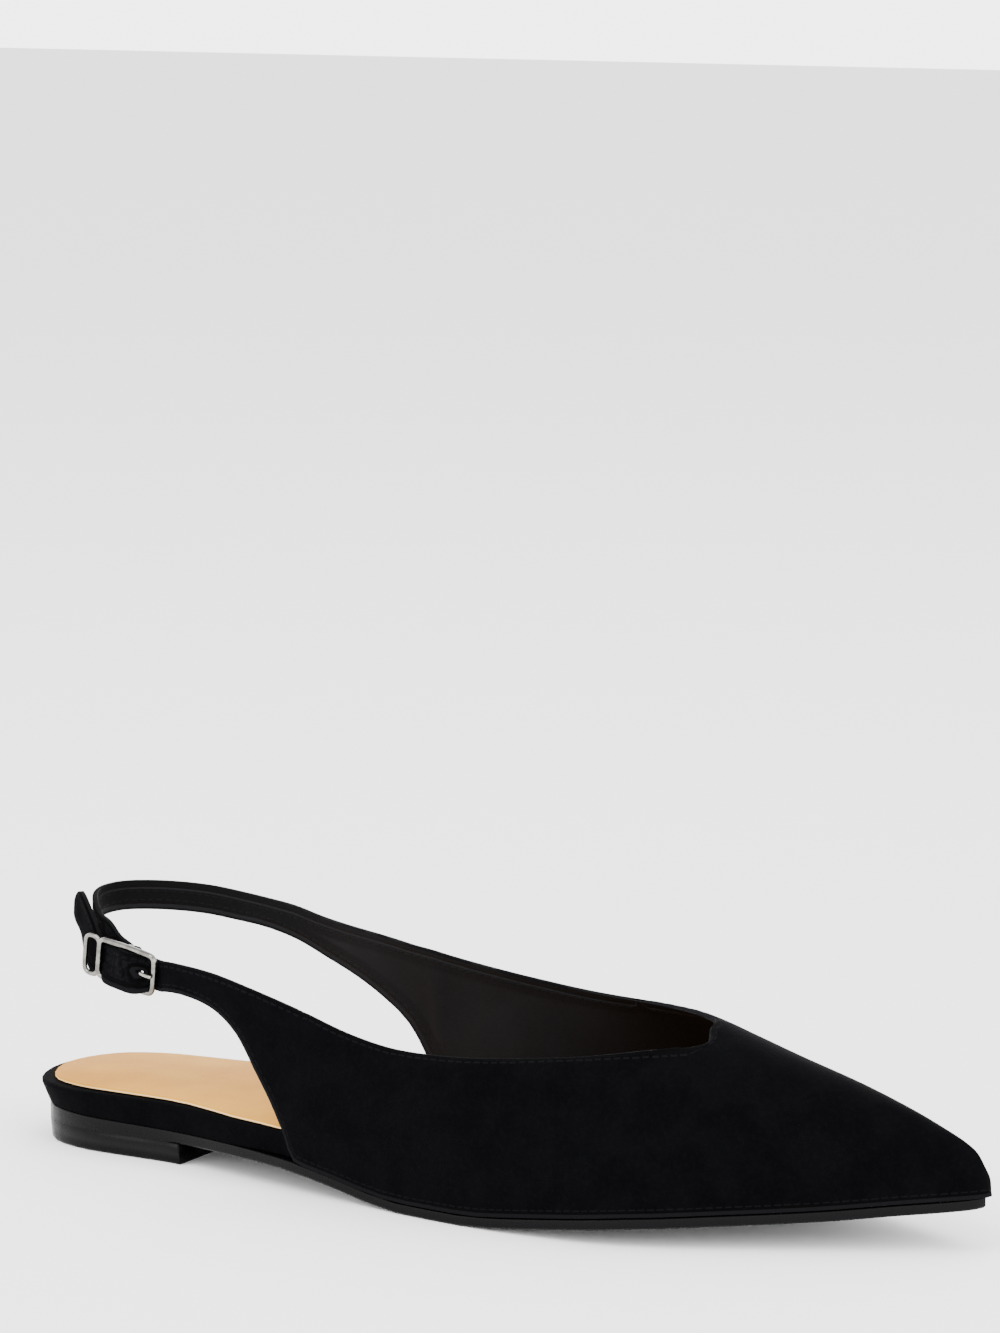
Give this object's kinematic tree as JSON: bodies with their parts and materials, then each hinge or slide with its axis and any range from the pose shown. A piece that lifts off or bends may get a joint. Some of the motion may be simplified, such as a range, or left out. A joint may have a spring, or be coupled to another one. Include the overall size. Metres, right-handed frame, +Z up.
{
  "type": "sling back flat",
  "caption": "Pointed-toe sling back flat for the right foot in black suede, with a low heel block, a beige sock and a buckled strap round the heel.",
  "frame": {"origin": "on the floor, at the centre of the heel block's flat face", "axes": "+X from the heel to the pointed toe, +Y to the inner side of the foot, +Z up"},
  "size_m": [0.2646, 0.0771, 0.0647],
  "materials": {
    "black_suede": "matt suede with a short nap",
    "suede_binding": "matt suede",
    "glossy_sole": "glossy moulded sole",
    "glossy_heel": "glossy moulded block",
    "beige_sock": "smooth satin leather",
    "nickel": "polished nickel",
    "nickel_prong": "polished nickel"
  },
  "bodies": {
    "root": {"outsole": "glossy_sole", "heel": "glossy_heel", "footbed": "suede_binding", "sock": "beige_sock", "upper": "black_suede", "buckle_frame": "nickel", "buckle_prong": "nickel_prong"}
  },
  "joints": []
}
